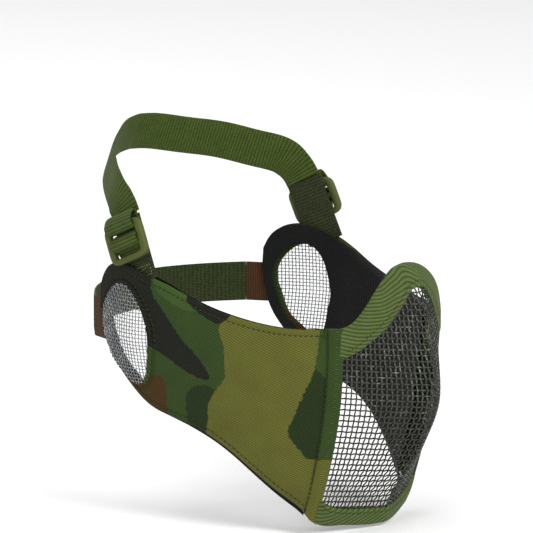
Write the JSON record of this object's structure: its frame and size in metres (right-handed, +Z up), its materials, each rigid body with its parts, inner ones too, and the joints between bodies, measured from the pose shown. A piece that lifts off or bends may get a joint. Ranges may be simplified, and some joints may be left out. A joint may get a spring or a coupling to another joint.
{
  "type": "camo face mask",
  "caption": "Half face mask with a woven steel mouth guard, padded camouflage cheek panels, domed ear guards and an adjustable head strap.",
  "frame": {"origin": "centre of the wearer's head, midway between the ear guards and level with their middles", "axes": "+Z up, the wearer faces -Y, +X is the wearer's left"},
  "size_m": [0.1646, 0.1934, 0.1918],
  "materials": {
    "mesh_wire": "grey-olive painted woven steel wire, satin",
    "tape": "olive ribbed woven tape",
    "camo_cloth": "printed woodland camouflage twill",
    "foam": "closed-cell padding",
    "lining_cloth": "black brushed knit",
    "ear_wire": "bare woven steel wire",
    "webbing": "olive woven webbing",
    "slide_plastic": "moulded olive plastic",
    "camo_tab": "brown part of the camouflage print",
    "elastic": "woven olive elastic"
  },
  "bodies": {
    "front": {"front_mesh": "mesh_wire", "nose_trim": "tape", "chin_trim": "tape", "right_head_strap": "webbing", "right_neck_band": "elastic", "left_head_strap": "webbing", "left_neck_band": "elastic"},
    "right_side": {"right_cheek_cover": "camo_cloth", "right_cheek_foam": "foam", "right_cheek_lining": "lining_cloth", "right_seam_hem": "camo_cloth", "right_ear_mesh": "ear_wire", "right_anchor_webbing": "webbing", "right_neck_tab": "camo_tab"},
    "left_side": {"left_cheek_cover": "camo_cloth", "left_cheek_foam": "foam", "left_cheek_lining": "lining_cloth", "left_seam_hem": "camo_cloth", "left_ear_mesh": "ear_wire", "left_anchor_webbing": "webbing", "left_neck_tab": "camo_tab"},
    "right_slide": {"right_slide": "slide_plastic", "right_webbing_bend": "webbing", "right_strap_loop": "webbing"},
    "left_slide": {"left_slide": "slide_plastic", "left_webbing_bend": "webbing", "left_strap_loop": "webbing"}
  },
  "joints": [
    {"name": "right_side_fold", "type": "hinge", "parent": "front", "child": "right_side", "pos_m": [-0.042, -0.093, 0.009], "axis": [0.0203, 0.1726, -0.9848], "range_deg": [-18, 22], "deforming": ["right_head_strap", "right_neck_band"]},
    {"name": "left_side_fold", "type": "hinge", "parent": "front", "child": "left_side", "pos_m": [0.042, -0.093, 0.009], "axis": [0.0203, -0.1726, 0.9848], "range_deg": [-18, 22], "deforming": ["left_head_strap", "left_neck_band"]},
    {"name": "right_slide_adjust", "type": "slide", "parent": "right_side", "child": "right_slide", "axis": [0.061, 0.386, 0.9205], "range_m": [0, 0.008]},
    {"name": "left_slide_adjust", "type": "slide", "parent": "left_side", "child": "left_slide", "axis": [-0.061, 0.386, 0.9205], "range_m": [0, 0.008]}
  ]
}
